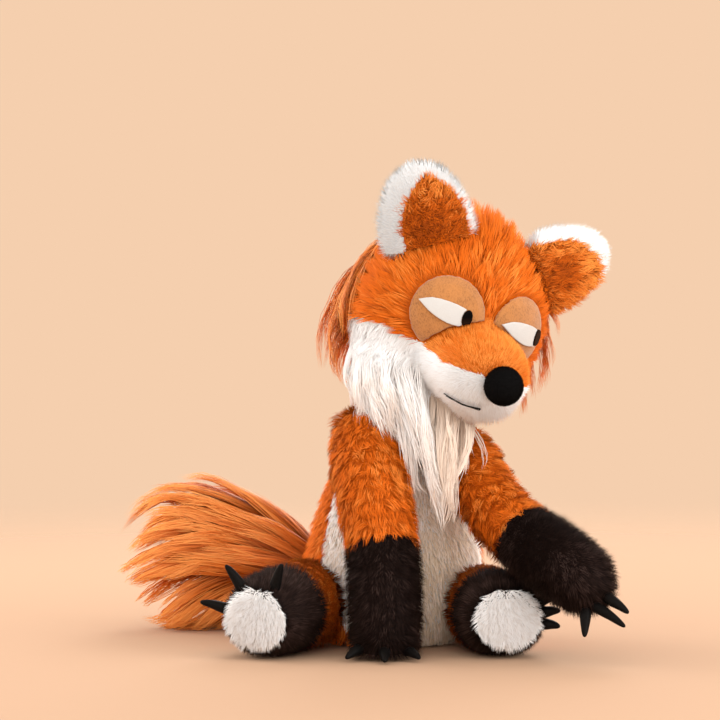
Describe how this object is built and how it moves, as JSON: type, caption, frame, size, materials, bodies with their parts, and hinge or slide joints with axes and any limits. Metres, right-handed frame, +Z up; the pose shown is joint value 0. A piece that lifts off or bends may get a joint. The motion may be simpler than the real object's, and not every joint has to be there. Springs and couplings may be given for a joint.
{
  "type": "plush toy",
  "caption": "Seated plush fox with a turning and nodding head, raising arms, splaying legs and a swinging brush of a tail",
  "frame": {"origin": "The middle of the seat, on the surface that the toy sits on.", "axes": "+Z is up. The body faces -Y. +X is the toy's own left side."},
  "size_m": [0.3549, 0.3743, 0.3822],
  "materials": {
    "orange_fur": "soft pile about 12 mm long",
    "long_orange_fur": "long silky pile in locks",
    "white_fur": "soft pile about 12 mm long",
    "cream_fur": "long silky hair",
    "brown_fur": "dense dark pile about 8 mm long",
    "suede": "matt suede",
    "velour": "fine black flock",
    "felt": "smooth white felt",
    "pupil": "glossy black",
    "claw": "satin black",
    "thread": "thick black yarn",
    "canvas": "plain woven cloth"
  },
  "bodies": {
    "torso": {"torso_back": "orange_fur", "chest_panel": "white_fur", "seat_panel": "canvas", "pellet_bag": "canvas"},
    "neck": {"neck_roll": "orange_fur"},
    "head": {"skull": "orange_fur", "muzzle_top": "orange_fur", "muzzle_chin": "white_fur", "nose": "velour", "mouth_stitch": "thread", "cheek_right": "white_fur", "eye_disc_right": "suede", "eye_white_right": "felt", "pupil_right": "pupil", "ear_shell_right": "white_fur", "ear_front_right": "orange_fur", "cheek_left": "white_fur", "eye_disc_left": "suede", "eye_white_left": "felt", "pupil_left": "pupil", "ear_shell_left": "white_fur", "ear_front_left": "orange_fur", "throat_ruff": "white_fur", "mane": "long_orange_fur", "beard": "cream_fur"},
    "arm_right": {"sleeve_right": "orange_fur", "forearm_right": "brown_fur", "hand_claw_right_1": "claw", "hand_claw_right_2": "claw", "hand_claw_right_3": "claw"},
    "arm_left": {"sleeve_left": "orange_fur", "forearm_left": "brown_fur", "hand_claw_left_1": "claw", "hand_claw_left_2": "claw", "hand_claw_left_3": "claw"},
    "leg_right": {"thigh_right": "orange_fur", "foot_right": "brown_fur", "sole_right": "white_fur", "foot_claw_right_1": "claw", "foot_claw_right_2": "claw", "foot_claw_right_3": "claw"},
    "leg_left": {"thigh_left": "orange_fur", "foot_left": "brown_fur", "sole_left": "white_fur", "foot_claw_left_1": "claw", "foot_claw_left_2": "claw", "foot_claw_left_3": "claw"},
    "tail": {"tail": "long_orange_fur"}
  },
  "joints": [
    {"name": "neck_turn", "type": "hinge", "parent": "torso", "child": "neck", "pos_m": [0.016, -0.02, 0.187], "axis": [0.1832, -0.1701, 0.9682], "range_deg": [-25, 25], "deforming": ["mane", "beard"]},
    {"name": "head_nod", "type": "hinge", "parent": "neck", "child": "head", "pos_m": [0.016, -0.02, 0.187], "axis": [0.9382, 0.2316, -0.2573], "range_deg": [-10, 7], "deforming": ["mane", "beard"]},
    {"name": "arm_right_raise", "type": "hinge", "parent": "torso", "child": "arm_right", "pos_m": [-0.036, -0.032, 0.166], "axis": [-1, 0, 0], "range_deg": [0, 45]},
    {"name": "arm_left_raise", "type": "hinge", "parent": "torso", "child": "arm_left", "pos_m": [0.041, -0.042, 0.152], "axis": [-1, 0, 0], "range_deg": [0, 22]},
    {"name": "leg_right_splay", "type": "hinge", "parent": "torso", "child": "leg_right", "pos_m": [-0.056, -0.004, 0.034], "axis": [0, 0, -1], "range_deg": [-6, 18]},
    {"name": "leg_left_splay", "type": "hinge", "parent": "torso", "child": "leg_left", "pos_m": [0.042, -0.028, 0.034], "axis": [0, 0, 1], "range_deg": [-10, 0]},
    {"name": "tail_wag", "type": "hinge", "parent": "torso", "child": "tail", "pos_m": [-0.028, 0.064, 0.034], "axis": [0, 0, 1], "range_deg": [-20, 15]}
  ]
}
